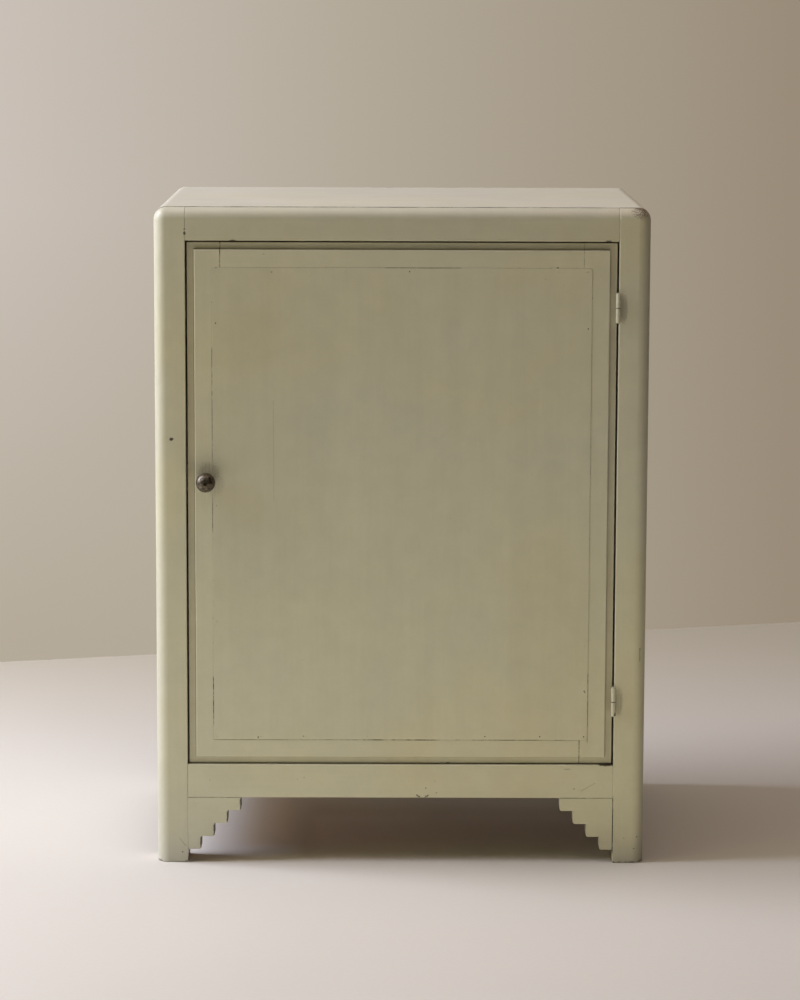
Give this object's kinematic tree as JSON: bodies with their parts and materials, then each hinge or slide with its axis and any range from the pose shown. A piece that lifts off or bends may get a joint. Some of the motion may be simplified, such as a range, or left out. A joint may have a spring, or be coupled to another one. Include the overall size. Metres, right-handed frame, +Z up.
{
  "type": "cupboard",
  "caption": "Painted wooden floor cupboard with rounded top and front edges, a framed door on lift-off hinges, a ball-knob latch and stepped foot brackets.",
  "frame": {"origin": "on the floor, under the middle of the whole object, knob included", "axes": "+Z up, -Y towards the door's front, +X to the right as the door is seen"},
  "size_m": [0.66, 0.4538, 0.89],
  "materials": {
    "sage_paint": "satin brushed paint, grey green, worn at the edges",
    "bare_wood": "unpainted aged softwood",
    "plywood": "unpainted aged plywood",
    "hinge_paint": "painted over with the case",
    "knob_metal": "dark polished steel",
    "plain_steel": "plain steel, slightly dulled",
    "pin_steel": "darkened steel"
  },
  "bodies": {
    "case": {"back_bottom_rail": "bare_wood", "back_panel": "plywood", "back_panel_nails": "pin_steel", "back_top_rail": "bare_wood", "bottom_board": "bare_wood", "cleat_screws": "plain_steel", "front_bottom_rail": "sage_paint", "front_left_post": "sage_paint", "front_right_post": "sage_paint", "front_top_rail": "sage_paint", "hinge_post_screws": "plain_steel", "keeper_screws": "plain_steel", "latch_keeper": "plain_steel", "left_bottom_side_rail": "sage_paint", "left_foot_bracket": "sage_paint", "left_shelf_cleat": "bare_wood", "left_side_panel": "sage_paint", "left_top_side_rail": "sage_paint", "lower_hinge_pin": "plain_steel", "lower_hinge_post_leaf": "hinge_paint", "rear_left_post": "sage_paint", "rear_right_post": "sage_paint", "right_bottom_side_rail": "sage_paint", "right_foot_bracket": "sage_paint", "right_shelf_cleat": "bare_wood", "right_side_panel": "sage_paint", "right_top_side_rail": "sage_paint", "shelf": "bare_wood", "top_board": "sage_paint", "top_door_stop": "bare_wood", "upper_hinge_pin": "plain_steel", "upper_hinge_post_leaf": "hinge_paint"},
    "door": {"door_bottom_rail": "sage_paint", "door_left_stile": "sage_paint", "door_panel": "sage_paint", "door_panel_pins": "pin_steel", "door_right_stile": "sage_paint", "door_top_rail": "sage_paint", "hinge_door_screws": "plain_steel", "lower_hinge_door_leaf": "hinge_paint", "upper_hinge_door_leaf": "hinge_paint"},
    "latch": {"knob": "knob_metal", "latch_nut": "plain_steel", "latch_spindle": "knob_metal", "latch_tongue": "plain_steel", "latch_washer": "plain_steel"}
  },
  "joints": [
    {"name": "door_hinge", "type": "hinge", "parent": "case", "child": "door", "pos_m": [0.28675, -0.1964, 0.491], "axis": [0, 0, 1], "range_deg": [0, 180]},
    {"name": "knob_turn", "type": "hinge", "parent": "door", "child": "latch", "pos_m": [-0.26059, -0.193, 0.525], "axis": [0, 1, 0], "range_deg": [0, 90]}
  ]
}
